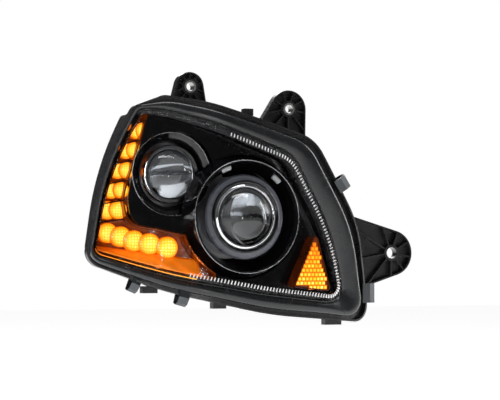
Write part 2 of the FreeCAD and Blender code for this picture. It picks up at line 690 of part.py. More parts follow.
def bowl_depth(mouth):
    """How deep a bowl of this mouth runs before its neck; its section is an arc centred past the axis."""
    past = size("bowl_past_axis")
    return math.sqrt((mouth + past) ** 2 - (size("bowl_neck") + past) ** 2)


def make_bowl(name, x, z, mouth):
    """A bright bowl with a flange on the carrier and a neck for the bulb."""
    start = CARRIER_BACK
    neck = size("bowl_neck")
    wall = size("bowl_wall")
    past = size("bowl_past_axis")
    deep = bowl_depth(mouth)

    def on(radius, angle):
        return (radius * math.cos(angle) - past, start + radius * math.sin(angle))

    inner = mouth + past
    outer = inner + wall
    half = math.asin(deep / inner) / 2
    flange = 2
    far = math.acos((neck + 4 + past) / outer)
    near = math.asin(flange / outer)
    points = [(mouth, start) + on(inner, half),
              (mouth + 9, start), (mouth + 9, start + flange), on(outer, near),
              on(outer, far) + on(outer, (near + far) / 2),
              (neck + 4, start + deep + 5), (neck, start + deep + 5), (neck, start + deep)]
    keep(turned(name, x, z, points), name)


def make_bulb(name, x, z, seat):
    """A glass capsule on a stem, and a flanged base that locks behind the bowl's neck."""
    points = [(0, seat - 46), ("bulb_radius", seat - 41, 3.6, seat - 44.6), ("bulb_radius", seat - 14),
              (3, seat - 10), (3, seat), (0, seat)]
    keep(turned(name + "_glass", x, z, points), name + "_capsule")
    base = "bulb_base_radius"
    points = [(3.05, seat - 6), (8.6, seat - 6), (8.6, seat + 0.2), (base, seat + 0.2), (base, seat + 3),
              (base + " - 4", seat + 5), (base + " - 4", seat + 18), (base + " - 6", seat + 20),
              (0, seat + 20), (0, seat + 0.1), (3.05, seat + 0.1)]
    body = turned(name + "_socket", x, z, points)
    grip = block(name + "_grip", 3, 12, 34, x, seat + 6, z)
    keep(fused(name + "_base_parts", [body, grip]), name + "_base")


# --- aiming carrier -------------------------------------------------------------------------------

def make_carrier():
    """The plate that both projectors bolt to; it tilts on two pins and is pushed by one screw."""
    front = size("carrier_front")
    lever = math.hypot(SCREW_X, SCREW_Z)
    arm = block("arm", lever, "carrier_thick", 22, 0, 0, 0)
    turn = FreeCAD.Rotation(FreeCAD.Vector(0, 1, 0), -math.degrees(math.atan2(SCREW_Z, SCREW_X)))
    middle = turn.multVec(FreeCAD.Vector(0, 0, -11))
    arm.Placement = FreeCAD.Placement(FreeCAD.Vector(middle.x, front, middle.z), turn)
    pieces = [
        cylinder("low_plate", "low_plate_radius", "carrier_thick", 0, front, 0),
        cylinder("high_plate", "high_plate_radius", "carrier_thick", HIGH_X, front, HIGH_Z),
        block("bridge", 70, "carrier_thick", 66, HIGH_X / 2 + 3, front, HIGH_Z / 2),
        arm,
        cylinder("arm_end", 12, "carrier_thick", SCREW_X, front, SCREW_Z),
        tube("nut", 9, "screw_radius + nut_play", 14, SCREW_X, front, SCREW_Z),
    ]
    up = size("pivot_up")
    deep = front + size("carrier_thick") / 2
    for side, x, strap in (("left", -133, -124), ("right", 50, 49)):
        pieces.append(cylinder(side + "_lug", "pivot_radius + 4", 5.6, x, deep, up, ALONG_X))
        strap_wide = 18 if side == "left" else 12
        pieces.append(block(side + "_strap", strap_wide, "carrier_thick", 16, strap, front, up))
    plate = fused("carrier_solid", pieces)
    holes = [
        cylinder("low_hole", "low_holder_radius - 3", 20, 0, front - 5, 0),
        cylinder("high_hole", "high_holder_radius - 3", 20, HIGH_X, front - 5, HIGH_Z),
        cylinder("screw_way", "screw_radius + nut_play", 40, SCREW_X, front - 5, SCREW_Z),
        cylinder("left_pin_way", "pivot_radius + pivot_play", 12, -138, deep, up, ALONG_X),
        cylinder("right_pin_way", "pivot_radius + pivot_play", 12, 47.5, deep, up, ALONG_X),
    ]
    keep(cut("carrier", plate, fused("carrier_holes", holes)), "aim_carrier")


def make_pivots():
    """Two brackets on the tub's back wall, each ending in a pin for the carrier's lug."""
    up = size("pivot_up")
    deep = size("carrier_front") + size("carrier_thick") / 2
    wall = amount("tub_depth - tub_wall")
    for side, pin_start, post in (("left", -136.4, -136.4), ("right", 49.5, 59.7)):
        pin = cylinder(side + "_pin", "pivot_radius", 10, pin_start, deep, up, ALONG_X)
        arm = block(side + "_post", 5, wall - deep + 9, 17, post, deep - 9, up)
        keep(fused(side + "_pivot", [arm, pin]), f"pivot_bracket_{side}")


def make_aim_screw():
    start = size("carrier_front") - 3
    end = size("tub_depth") + 12
    keep(cylinder("screw", "screw_radius", end - start, SCREW_X, start, SCREW_Z), "aim_screw")
    base = size("tub_depth") + 5.5
    grips = [cylinder("knob_hub", "knob_radius - 2", 10, SCREW_X, base, SCREW_Z)]
    count = 12
    for i in range(count):
        angle = 2 * math.pi * i / count
        x = SCREW_X + amount("knob_radius - 2.5") * math.cos(angle)
        z = SCREW_Z + amount("knob_radius - 2.5") * math.sin(angle)
        grips.append(cylinder(f"knob_grip_{i}", 2.2, 10, x, base, z))
    knob = fused("knob_solid", grips)
    keep(cut("knob", knob, cylinder("knob_bore", "screw_radius", 30, SCREW_X, base - 2, SCREW_Z)), "aim_knob")


# --- rear: caps, plug, driver and vents -----------------------------------------------------------

def make_cap(name, port, x, z, grips):
    """A twist-off cap over a port's collar, with finger grips, and the ring that seals it."""
    inner = port + " + port_wall + cap_play"
    outer = inner + " + cap_wall"
    start = size("tub_depth") + 1
    points = [(inner, start), (outer, start), (outer, PORT_END + 1.5), (outer + " - 2", PORT_END + 4.5),
              (0, PORT_END + 4.5), (0, PORT_END + 2), (inner, PORT_END + 2)]
    shell = turned(name + "_shell", x, z, points)
    ribs = [block(f"{name}_grip", 8, 8, 2 * amount(port) - 12, x, PORT_END + 4, z)]
    for i in range(grips):
        angle = 2 * math.pi * i / grips
        rib_x = x + (amount(outer) + 0.4) * math.cos(angle)
        rib_z = z + (amount(outer) + 0.4) * math.sin(angle)
        ribs.append(cylinder(f"{name}_rib_{i}", 1.8, PORT_END - start, rib_x, start, rib_z))
    keep(fused(name + "_solid", [shell] + ribs), name)
    seal = tube(name + "_ring", port + " + port_wall", port, 1.5, x, PORT_END + 0.5, z)
    keep(seal, name + "_seal")


def make_plug():
    """The electrical inlet: an open shell with six blades."""
    x, z = 52, -58
    start = size("tub_depth")
    shell = block("plug_outer", "plug_wide", "plug_long", "plug_tall", x, start, z)
    room = block("plug_room", "plug_wide - plug_wall - plug_wall", "plug_long",
                 "plug_tall - plug_wall - plug_wall", x, start + 3, z)
    keep(cut("plug_shell", shell, room), "electrical_inlet")
    blades = [block(f"blade_{i}", 2, 14, 0.8, x - 11 + 4.4 * i, start + 3, z) for i in range(6)]
    keep(fused("blades", blades), "inlet_blades")


def make_driver():
    """A sealed box on the back wall that drives the amber lights, and its screws."""
    x, z = -107, -8
    start = size("tub_depth")
    box = block("driver_box", 44, 16, 20, x, start, z)
    fins = [block(f"driver_fin_{i}", 44, 3, 1.6, x, start + 16, z - 8 + 4 * i) for i in range(5)]
    keep(fused("driver", [box] + fins), "signal_driver")


def make_vents():
    """Breather caps on short stubs."""
    caps = []
    for i, (x, z) in enumerate(((22, 64), (-60, -50))):
        stub = cylinder(f"vent_stub_{i}", 4, 6, x, size("tub_depth"), z)
        top = cylinder(f"vent_top_{i}", 8, 7, x, size("tub_depth") + 5, z)
        caps.append(fused(f"vent_{i}", [stub, top]))
    keep(fused("vents", caps), "breather_caps")


def make_all():
    make_housing()
    make_lens_cover()
    make_rim_seal()
    make_sleeves()
    make_clips()
    make_inner_bezel()
    make_shroud()
    make_high_surround()
    make_turn_signal()
    make_side_marker()
    make_low_projector()
    make_high_projector()
    make_carrier()
    make_pivots()
    make_aim_screw()
    make_cap("rear_cap_low", "low_port_radius", 0, 0, 24)
    make_cap("rear_cap_high", "high_port_radius", HIGH_X, HIGH_Z, 20)
    make_plug()
    make_driver()
    make_vents()


def write_parts():
    """Stops on any failed object, then writes each sub-part."""
    doc.recompute()
    for item in doc.Objects:
        if "Invalid" in item.State or "Error" in item.State:
            raise RuntimeError(f"{item.Label} failed: {item.State}")
    for item in subparts:
        if item.Shape.isNull() or not item.Shape.isValid() or not item.Shape.Solids:
            raise RuntimeError(f"{item.Label} has no valid shape")
    os.makedirs("parts", exist_ok=True)
    for item in subparts:
        item.Shape.exportStep(f"parts/{item.Label}.step")
        box = item.Shape.BoundBox
        print(f"{item.Label:26s} {len(item.Shape.Solids):2d} solids {item.Shape.Volume / 1000:8.1f} cm3 "
              f"x {box.XMin:.0f}..{box.XMax:.0f} y {box.YMin:.0f}..{box.YMax:.0f} "
              f"z {box.ZMin:.0f}..{box.ZMax:.0f}")


make_all()
write_parts()
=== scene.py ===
import math
import random

import bmesh
import bpy
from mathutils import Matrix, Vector
from mathutils.bvhtree import BVHTree


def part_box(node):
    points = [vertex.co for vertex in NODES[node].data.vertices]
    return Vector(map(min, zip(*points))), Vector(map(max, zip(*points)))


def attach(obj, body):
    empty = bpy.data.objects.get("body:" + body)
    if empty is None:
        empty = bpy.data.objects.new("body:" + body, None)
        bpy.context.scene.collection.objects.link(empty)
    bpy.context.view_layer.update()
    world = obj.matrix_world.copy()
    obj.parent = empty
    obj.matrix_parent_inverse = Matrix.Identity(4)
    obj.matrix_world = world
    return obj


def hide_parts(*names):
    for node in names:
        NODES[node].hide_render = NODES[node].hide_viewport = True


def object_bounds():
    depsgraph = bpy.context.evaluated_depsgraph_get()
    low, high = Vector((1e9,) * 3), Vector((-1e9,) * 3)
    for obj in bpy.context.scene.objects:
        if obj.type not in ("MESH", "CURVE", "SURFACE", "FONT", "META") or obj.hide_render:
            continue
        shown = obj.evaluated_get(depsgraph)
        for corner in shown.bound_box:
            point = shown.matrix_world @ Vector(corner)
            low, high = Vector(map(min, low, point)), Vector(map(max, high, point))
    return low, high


# A twin-projector truck headlight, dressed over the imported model.  Metres, the lamp shines towards -Y.
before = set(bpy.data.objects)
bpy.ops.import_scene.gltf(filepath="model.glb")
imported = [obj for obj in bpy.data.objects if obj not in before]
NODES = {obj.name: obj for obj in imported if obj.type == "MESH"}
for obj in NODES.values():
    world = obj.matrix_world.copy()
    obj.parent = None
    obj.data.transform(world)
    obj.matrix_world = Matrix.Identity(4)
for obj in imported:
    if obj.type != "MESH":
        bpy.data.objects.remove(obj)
CAD_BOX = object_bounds()
MM = 0.001


def centre(node):
    """The middle of a node's box."""
    low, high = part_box(node)
    return (low + high) / 2


LOW_AXIS = centre("low_beam_lens")
HIGH_AXIS = centre("high_beam_lens")
# The lamp's own frame: its origin is on the low-beam axis, where the shroud leaves the inner bezel.
ORIGIN = Vector((LOW_AXIS.x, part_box("low_beam_shroud")[0].y + 21 * MM, LOW_AXIS.z))


# --- materials ------------------------------------------------------------------------------------

def shader(name, colour, roughness, metallic=0.0):
    """A new material; gives back the material, its node tree and its Principled node."""
    material = bpy.data.materials.new(name)
    material.use_nodes = True
    tree = material.node_tree
    surface = tree.nodes["Principled BSDF"]
    surface.inputs["Base Color"].default_value = (*colour, 1)
    surface.inputs["Roughness"].default_value = roughness
    surface.inputs["Metallic"].default_value = metallic
    return material, tree, surface


def noise(tree, scale, detail=4.0, stretch=None):
    """Noise over the object's own coordinates."""
    place = tree.nodes.new("ShaderNodeTexCoord")
    texture = tree.nodes.new("ShaderNodeTexNoise")
    texture.inputs["Scale"].default_value = scale
    texture.inputs["Detail"].default_value = detail
    if stretch:
        mapping = tree.nodes.new("ShaderNodeMapping")
        mapping.inputs["Scale"].default_value = stretch
        tree.links.new(place.outputs["Object"], mapping.inputs["Vector"])
        tree.links.new(mapping.outputs["Vector"], texture.inputs["Vector"])
    else:
        tree.links.new(place.outputs["Object"], texture.inputs["Vector"])
    return texture.outputs["Fac"]


def spread(tree, source, low, high):
    """Maps a noise's middle range onto low..high."""
    middle_low, middle_high = 0.3, 0.7
    ranged = tree.nodes.new("ShaderNodeMapRange")
    ranged.inputs["From Min"].default_value = middle_low
    ranged.inputs["From Max"].default_value = middle_high
    ranged.inputs["To Min"].default_value = low
    ranged.inputs["To Max"].default_value = high
    tree.links.new(source, ranged.inputs["Value"])
    return ranged.outputs["Result"]


def blend_colours(tree, fac, first, second):
    """A mix of two colours by a factor from 0 to 1."""
    mix = tree.nodes.new("ShaderNodeMix")
    mix.data_type = "RGBA"
    mix.inputs["A"].default_value = (*first, 1)
    mix.inputs["B"].default_value = (*second, 1)
    tree.links.new(fac, mix.inputs["Factor"])
    return mix.outputs["Result"]


def bump(tree, surface, height, depth):
    """Raises the surface's shading by a height texture, depth metres at the most."""
    node = tree.nodes.new("ShaderNodeBump")
    node.inputs["Distance"].default_value = depth
    node.inputs["Strength"].default_value = 0.6
    tree.links.new(height, node.inputs["Height"])
    tree.links.new(node.outputs["Normal"], surface.inputs["Normal"])


def moulded(name, colour, roughness, grain=900.0, depth=0.00008, vary=0.08):
    """Moulded plastic or rubber: fine grain, uneven gloss, paler in random patches."""
    material, tree, surface = shader(name, colour, roughness)
    patches = noise(tree, 14.0, 3.0)
    paler = tuple(c * 1.6 + 0.0012 for c in colour)
    tree.links.new(blend_colours(tree, spread(tree, patches, 0.0, 0.6), colour, paler),
                   surface.inputs["Base Color"])
    tree.links.new(spread(tree, noise(tree, 60.0), max(roughness - vary, 0.02), roughness + vary),
                   surface.inputs["Roughness"])
    bump(tree, surface, noise(tree, grain, 2.0), depth)
    return material


def metal(name, colour, roughness, brushed=None, depth=0.00003, vary=0.06):
    """Bright or brushed metal with faint smears."""
    material, tree, surface = shader(name, colour, roughness, metallic=1.0)
    smears = noise(tree, 35.0, 5.0, brushed)
    duller = tuple(c * 0.82 for c in colour)
    tree.links.new(blend_colours(tree, spread(tree, smears, 0.0, 1.0), colour, duller),
                   surface.inputs["Base Color"])
    uneven = spread(tree, noise(tree, 120.0, 3.0, brushed), max(roughness - vary, 0.01), roughness + vary)
    tree.links.new(uneven, surface.inputs["Roughness"])
    bump(tree, surface, noise(tree, 500.0, 2.0, brushed), depth)
    return material


def clear_cover():
    """Thin clear plastic: it reflects by angle and lets the rest through."""
    material, tree, surface = shader("clear_cover", (0.95, 0.97, 1.0), 0.03, metallic=1.0)
    fresnel = tree.nodes.new("ShaderNodeFresnel")
    fresnel.inputs["IOR"].default_value = 1.10
    tree.links.new(fresnel.outputs["Fac"], surface.inputs["Alpha"])
    tree.links.new(spread(tree, noise(tree, 25.0, 3.0), 0.01, 0.05), surface.inputs["Roughness"])
    return material


def optical_glass(name, tint):
    """Solid clear glass with very slight smears."""
    material, tree, surface = shader(name, tint, 0.0)
    surface.inputs["Transmission Weight"].default_value = 1.0
    surface.inputs["IOR"].default_value = 1.5
    tree.links.new(spread(tree, noise(tree, 40.0, 3.0), 0.0, 0.02), surface.inputs["Roughness"])
    return material


def lit_amber(name, attribute, strength):
    """Amber emission by an attribute that says where it is brightest: the domes' own light, and a painted
    reflection on the shelf.
    """
    material, tree, surface = shader(name, (0.75, 0.22, 0.01), 0.12)
    source = tree.nodes.new("ShaderNodeAttribute")
    source.attribute_name = attribute
    ramp = tree.nodes.new("ShaderNodeValToRGB")
    stops = ((0.0, (0.10, 0.012, 0.0)), (0.3, (0.55, 0.075, 0.0)), (0.55, (0.95, 0.30, 0.004)),
             (0.8, (1.0, 0.62, 0.05)), (1.0, (1.0, 0.95, 0.36)))
    while len(ramp.color_ramp.elements) < len(stops):
        ramp.color_ramp.elements.new(0.5)
    for element, (place, colour) in zip(ramp.color_ramp.elements, stops):
        element.position = place
        element.color = (*colour, 1)
    tree.links.new(source.outputs["Fac"], ramp.inputs["Fac"])
    tree.links.new(ramp.outputs["Color"], surface.inputs["Emission Color"])
    surface.inputs["Emission Strength"].default_value = strength
    tree.links.new(spread(tree, noise(tree, 200.0), 0.08, 0.2), surface.inputs["Roughness"])
    return material


def lamp_and_painted_glow(name, bright, dark, strength, scale, base, roughness=0.2, metallic=0.0):
    """Emission in soft patches: the LED chips' own light, and painted glow on the signal's reflector and
    optic and the marker's housing and reflector.
    """
    material, tree, surface = shader(name, base, roughness, metallic)
    patches = spread(tree, noise(tree, scale, 3.0), 0.0, 1.0)
    tree.links.new(blend_colours(tree, patches, dark, bright), surface.inputs["Emission Color"])
    surface.inputs["Emission Strength"].default_value = strength
    tree.links.new(spread(tree, noise(tree, 150.0), roughness * 0.7, roughness * 1.3),
                   surface.inputs["Roughness"])
    bump(tree, surface, noise(tree, scale * 2.5, 3.0), 0.0004)
    return material


BLACK_TUB = moulded("black_tub", (0.005, 0.005, 0.006), 0.30, depth=0.00012)
BLACK_RUBBER = moulded("black_rubber", (0.007, 0.008, 0.009), 0.24, grain=500.0, depth=0.00004)
GLOSS_BLACK = moulded("gloss_black", (0.0015, 0.0015, 0.002), 0.07, grain=60.0,
                      depth=0.000005, vary=0.02)
SATIN_GREY = moulded("satin_grey", (0.075, 0.08, 0.095), 0.32, grain=700.0, depth=0.00003)
# Pale grey for the shroud's two patches only: painted reflections of the softboxes.
PAINTED_REFLECTION_GREY = moulded("painted_reflection_grey", (0.28, 0.29, 0.30), 0.35, grain=700.0, depth=0.00003)
CAP_PLASTIC = moulded("cap_plastic", (0.028, 0.028, 0.030), 0.5, depth=0.00015)
NYLON = moulded("natural_nylon", (0.62, 0.61, 0.56), 0.45, depth=0.00006)
GREEN_BOARD = moulded("green_board", (0.01, 0.07, 0.03), 0.35, grain=300.0)
CHROME = metal("chrome", (0.80, 0.81, 0.83), 0.06)
BEAD_METAL = metal("bead_metal", (0.42, 0.43, 0.45), 0.25)
CAST = metal("cast_metal", (0.40, 0.41, 0.43), 0.38, depth=0.0001)
STEEL = metal("plated_steel", (0.38, 0.38, 0.37), 0.32, brushed=(1, 12, 1))
CLIP_STEEL = metal("clip_steel", (0.085, 0.09, 0.095), 0.42, depth=0.00008)
COVER = clear_cover()
GLASS = optical_glass("projector_glass", (0.97, 0.99, 1.0))
QUARTZ = optical_glass("bulb_quartz", (0.98, 0.98, 1.0))
# The serrations are real, but their opaque pale grey is a painted glint of the clear edge.
EDGE_PRISM_PAINTED_GLINT = moulded("edge_prism_painted_glint", (0.72, 0.72, 0.72), 0.2, grain=400.0, depth=0.00002)
# The signal's reflector and optic and the marker's housing and reflector have no light of their own: their
# emission patches are painted glow.
AMBER_TRAY_PAINTED_GLOW = lamp_and_painted_glow("amber_tray", (0.30, 0.045, 0.001),
                     (0.008, 0.001, 0.0), 0.22, 45.0, (0.16, 0.035, 0.003), 0.12, 0.85)
AMBER_BASE_PAINTED_GLOW = lamp_and_painted_glow("amber_base_painted_glow", (0.30, 0.04, 0.001),
                     (0.02, 0.002, 0.0), 0.4, 60.0, (0.16, 0.03, 0.002), 0.15)
MARKER_TRAY_PAINTED_GLOW = lamp_and_painted_glow("marker_tray_painted_glow", (0.10, 0.012, 0.0005),
                      (0.001, 0.0, 0.0), 0.4, 30.0, (0.05, 0.010, 0.001), 0.15)
AMBER_GLOW = lit_amber("amber_glow", "glow", 1.25)
LED_CHIP = lamp_and_painted_glow("led_chip", (1.0, 0.9, 0.4),
                   (1.0, 0.7, 0.2), 2.5, 200.0, (0.9, 0.7, 0.2))

DRESS = {
    "housing": BLACK_TUB, "lens_cover": COVER, "rim_seal": BLACK_RUBBER, "ear_sleeves": STEEL,
    "lens_clips": CLIP_STEEL, "inner_bezel": GLOSS_BLACK, "low_beam_shroud": GLOSS_BLACK,
    "high_beam_surround": GLOSS_BLACK, "turn_signal_reflector": AMBER_TRAY_PAINTED_GLOW, "turn_signal_optic": AMBER_BASE_PAINTED_GLOW,
    "turn_signal_board": GREEN_BOARD, "turn_signal_leds": LED_CHIP, "side_marker_housing": MARKER_TRAY_PAINTED_GLOW,
    "side_marker_reflector": AMBER_BASE_PAINTED_GLOW, "side_marker_board": GREEN_BOARD, "side_marker_leds": LED_CHIP,
    "low_beam_lens": GLASS, "low_beam_lens_holder": CAST, "low_beam_trim_ring": SATIN_GREY,
    "low_beam_reflector": CHROME, "cutoff_shield": STEEL, "low_bulb_capsule": QUARTZ,
    "low_bulb_base": CAP_PLASTIC, "high_beam_lens": GLASS, "high_beam_lens_holder": CAST,
    "high_beam_trim_ring": CHROME, "high_beam_reflector": CHROME, "high_bulb_capsule": QUARTZ,
    "high_bulb_base": CAP_PLASTIC, "aim_carrier": STEEL, "pivot_bracket_left": NYLON,
    "pivot_bracket_right": NYLON, "aim_screw": STEEL, "aim_knob": NYLON, "rear_cap_low": CAP_PLASTIC,
    "rear_cap_low_seal": BLACK_RUBBER, "rear_cap_high": CAP_PLASTIC, "rear_cap_high_seal": BLACK_RUBBER,
    "electrical_inlet": CAP_PLASTIC, "inlet_blades": STEEL, "signal_driver": CAST,
    "breather_caps": CAP_PLASTIC,
}


def dress_nodes():
    """Gives every CAD node its one material."""
    for name, material in DRESS.items():
        data = NODES[name].data
        data.materials.clear()
        data.materials.append(material)


dress_nodes()


# --- shapes ---------------------------------------------------------------------------------------

def at(x, y, z):
    """A point given in millimetres in the lamp's own frame."""
    return ORIGIN + Vector((x, y, z)) * MM


def lamp_place(spot):
    """The lamp's own (right, up) in millimetres of an (x, z) point."""
    return (spot.x - ORIGIN.x) / MM, (spot.y - ORIGIN.z) / MM


def piece(name, points, faces, material, body="lamp_body", smooth=True, glow=None):
    """A mesh piece that rides on a CAD body; glow is one brightness for each point."""
    data = bpy.data.meshes.new(name)
    data.from_pydata([tuple(p) for p in points], [], faces)
    data.validate()
    data.update()
    work = bmesh.new()
    work.from_mesh(data)
    bmesh.ops.recalc_face_normals(work, faces=work.faces)
    work.to_mesh(data)
    work.free()
    data.polygons.foreach_set("use_smooth", [smooth] * len(data.polygons))
    if glow:
        layer = data.attributes.new("glow", "FLOAT", "POINT")
        layer.data.foreach_set("value", glow)
    data.materials.append(material)
    made = bpy.data.objects.new(name, data)
    bpy.context.scene.collection.objects.link(made)
    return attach(made, body)


def ring_faces(count, across):
    """Quads between neighbouring sections of a closed ring."""
    faces = []
    for i in range(count):
        following = (i + 1) % count
        for j in range(across):
            beside = (j + 1) % across
            faces.append((i * across + j, following * across + j, following * across + beside,
                          i * across + beside))
    return faces


def lathe(name, centre_point, section, material, body="lamp_body", steps=160, start=0.0, turn=1.0):
    """Turns a closed section of (radius, depth) in millimetres about the beam's axis."""
    whole = turn >= 1.0
    count = steps if whole else max(int(steps * turn), 2) + 1
    points = []
    for i in range(count):
        angle = 2 * math.pi * (start + turn * i / (count if whole else count - 1))
        for radius, depth in section:
            offset = Vector((radius * math.cos(angle), depth, radius * math.sin(angle)))
            points.append(centre_point + offset * MM)
    across = len(section)
    faces = ring_faces(count, across)
    if not whole:
        faces = [f for f in faces if f[0] // across != count - 1]
        faces.append(tuple(range(across)))
        faces.append(tuple(range((count - 1) * across, count * across)))
    return piece(name, points, faces, material, body)


def round_section(radius, depth, thick, sides=10):
    """A round wire's section for the lathe."""
    angles = [2 * math.pi * k / sides for k in range(sides)]
    return [(radius + thick * math.cos(angle), depth + thick * math.sin(angle)) for angle in angles]


def surface_tree(node):
    """A node's mesh, ready for ray casts."""
    data = NODES[node].data
    return BVHTree.FromPolygons([v.co for v in data.vertices], [tuple(p.vertices) for p in data.polygons])


COVER_TREE = surface_tree("lens_cover")
SEAL_TREE = surface_tree("rim_seal")
AHEAD = Vector((0, 1, 0))


def depth_of(tree, x, z, otherwise=None):
    """How far back (metres) the node's front surface is at this place."""
    hit = tree.ray_cast(Vector((x, -1, z)), AHEAD)[0]
    return hit.y if hit else otherwise


def cover_front(x, z):
    """How far back the lens cover's front is at (x, z), all in millimetres in the lamp's own frame."""
    return (depth_of(COVER_TREE, ORIGIN.x + x * MM, ORIGIN.z + z * MM, 0.0) - ORIGIN.y) / MM


def outline(node):
    """The node's convex outline seen from the front, anticlockwise, as (x, z) points."""
    spots = sorted({(round(v.co.x, 5), round(v.co.z, 5)) for v in NODES[node].data.vertices})

    def half(run):
        chain = []
        for p in run:
            while len(chain) > 1:
                (ax, az), (bx, bz) = chain[-2:]
                if (bx - ax) * (p[1] - az) - (bz - az) * (p[0] - ax) > 0:
                    break
                chain.pop()
            chain.append(p)
        return chain[:-1]

    return [Vector(p) for p in half(spots) + half(spots[::-1])]


def walk(loop, step):
    """Points at even steps along a closed outline."""
    lengths = [(loop[i] - loop[i - 1]).length for i in range(len(loop))]
    total = sum(lengths)
    count = int(total / step)
    spots = []
    i, run = 0, 0.0
    for n in range(count):
        target = total * n / count
        while run + lengths[(i + 1) % len(loop)] < target:
            i += 1
            run += lengths[i % len(loop)]
        first, second = loop[i % len(loop)], loop[(i + 1) % len(loop)]
        spots.append(first.lerp(second, (target - run) / max((second - first).length, 1e-9)))
    return spots


def outward(spots, i, reach=4):
    """The smoothed outward direction at a point of an anticlockwise outline."""
    along = spots[(i + reach) % len(spots)] - spots[i - reach]
    return Vector((along.y, -along.x)).normalized()


def edge_of(loop, spot, direction):
    """How far the outline lies from a spot inside it, along a direction."""
    parallel, tolerance = 1e-12, 1e-6
    best = 0.0
    for i in range(len(loop)):
        a, b = loop[i - 1], loop[i]
        side = b - a
        cross = direction.x * side.y - direction.y * side.x
        if abs(cross) < parallel:
            continue
        offset = a - spot
        along = (offset.x * side.y - offset.y * side.x) / cross
        share = (offset.x * direction.y - offset.y * direction.x) / cross
        if -tolerance <= share <= 1 + tolerance:
            best = max(best, along)
    return best


LENS_LOOP = outline("lens_cover")
SEAL_LOOP = outline("rim_seal")


# --- the sealing rim and the lens's edge -----------------------------------------------------------

def rim_section():
    """(share of the way from lens to seal edge, depth in mm behind the CAD seal's front)."""
    crest_depth = 1.4
    section = [(0.02, 9.0), (0.02, 1.0), (0.06, -0.6), (0.13, -0.8), (0.17, 0.8)]
    bead_start, bead_end, height = 0.20, 1.10, 4.2
    steps = 14
    for k in range(steps + 1):
        swing = math.pi * k / steps
        share = bead_start + (bead_end - bead_start) * (1 - math.cos(swing)) / 2
        section.append((share, crest_depth - height * math.sin(swing) ** 0.8))
    section += [(1.14, 4.0), (1.14, 9.0)]
    return section


def make_rim_bead():
    """The broad rubber bead between the lens and the flange's lip."""
    spots = walk(LENS_LOOP, 0.003)
    section = rim_section()
    crest_share = 0.72
    full_width = 9 * MM
    bead_back = 4
    seal_front = -0.03
    points = []
    for i, spot in enumerate(spots):
        direction = outward(spots, i)
        width = edge_of(SEAL_LOOP, spot, direction)
        middle = spot + direction * width * crest_share
        depth = depth_of(SEAL_TREE, middle.x, middle.y)
        if depth is None:
            near = SEAL_TREE.find_nearest(Vector((middle.x, seal_front, middle.y)))[0]
            depth = near.y
        slim = min(width / full_width, 1.0)
        for share, behind in section:
            place = spot + direction * width * share
            lowered = slim if behind < bead_back else 1
            points.append(Vector((place.x, depth + behind * MM * lowered, place.y)))
    bead = piece("rim_bead", points, ring_faces(len(spots), len(section)), BLACK_RUBBER)
    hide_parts("rim_seal")


def edge_range(spot):
    """Where the painted glints on the serrated edge go: along the bottom right, the right side and the top
    right.
    """
    x, z = lamp_place(spot)
    top_start, bottom_start = -30, -82
    if z > 0:
        return x > top_start
    return x > bottom_start


def make_edge_prisms():
    """Small prisms moulded along the lens's edge; their pale grey colour is a painted glint."""
    spots = walk(LENS_LOOP, 0.0044)
    points = []
    faces = []
    inner, outer, wide, high = 8.2 * MM, 3.4 * MM, 0.8 * MM, 1.4 * MM
    behind_front = 4.4 * MM
    for i, spot in enumerate(spots):
        if not edge_range(spot):
            continue
        direction = outward(spots, i)
        side = Vector((-direction.y, direction.x))
        first = len(points)
        for inset, rise in ((outer, 0.2), (inner, 1.0)):
            base = spot - direction * inset
            depth = depth_of(COVER_TREE, base.x, base.y, CAD_BOX[0].y)
            back = depth + behind_front
            for swing, lift in ((-1, 0), (0, 1), (1, 0)):
                place = base + side * wide * swing
                points.append(Vector((place.x, back - high * lift * (0.6 + 0.4 * rise), place.y)))
        faces += [(first, first + 1, first + 4, first + 3), (first + 1, first + 2, first + 5, first + 4),
                  (first + 2, first, first + 3, first + 5), (first, first + 2, first + 1),
                  (first + 3, first + 4, first + 5)]
    prisms = piece("lens_edge_prisms", points, faces, EDGE_PRISM_PAINTED_GLINT, smooth=False)


def make_edge_line():
    """The lens's lower left edge, which carries the turn signal's light as a thin line."""
    spots = walk(LENS_LOOP, 0.004)
    level_top, right_end = -40, -70
    inset, behind_front, thick = 2.4, 4.2, 0.55
    faint, rise = 0.35, 0.35
    chosen = []
    for i, spot in enumerate(spots):
        x, z = lamp_place(spot)
        if z < level_top and x < right_end:
            base = spot - outward(spots, i) * inset * MM
            depth = depth_of(COVER_TREE, base.x, base.y, 0.0) + behind_front * MM
            chosen.append(Vector((base.x, depth, base.y)))
    chosen.sort(key=lambda p: p.x)
    points = []
    sides = 6
    for p in chosen:
        for k in range(sides):
            angle = 2 * math.pi * k / sides
            points.append(p + Vector((0, math.cos(angle), math.sin(angle))) * thick * MM)
    faces = []
    for i in range(len(chosen) - 1):
        here, following = i * sides, (i + 1) * sides
        faces += [(here + k, following + k, following + (k + 1) % sides, here + (k + 1) % sides)
                  for k in range(sides)]
    faces += [tuple(range(sides)), tuple(range(len(points) - sides, len(points)))]
    glow = [faint + rise * (i // sides) / len(chosen) for i in range(len(points))]
    line = piece("lens_edge_light", points, faces, AMBER_GLOW, glow=glow)


# --- turn signal and side marker -------------------------------------------------------------------

DOME_ROWS = 5
ROW_PITCH = 25.5


def left_edge(z):
    """The lens's inner left wall (mm in the lamp's frame) at a height."""
    level = ORIGIN.z + z * MM
    start = Vector((ORIGIN.x, level))
    wall = 3.4
    return -edge_of(LENS_LOOP, start, Vector((-1, 0))) / MM + wall


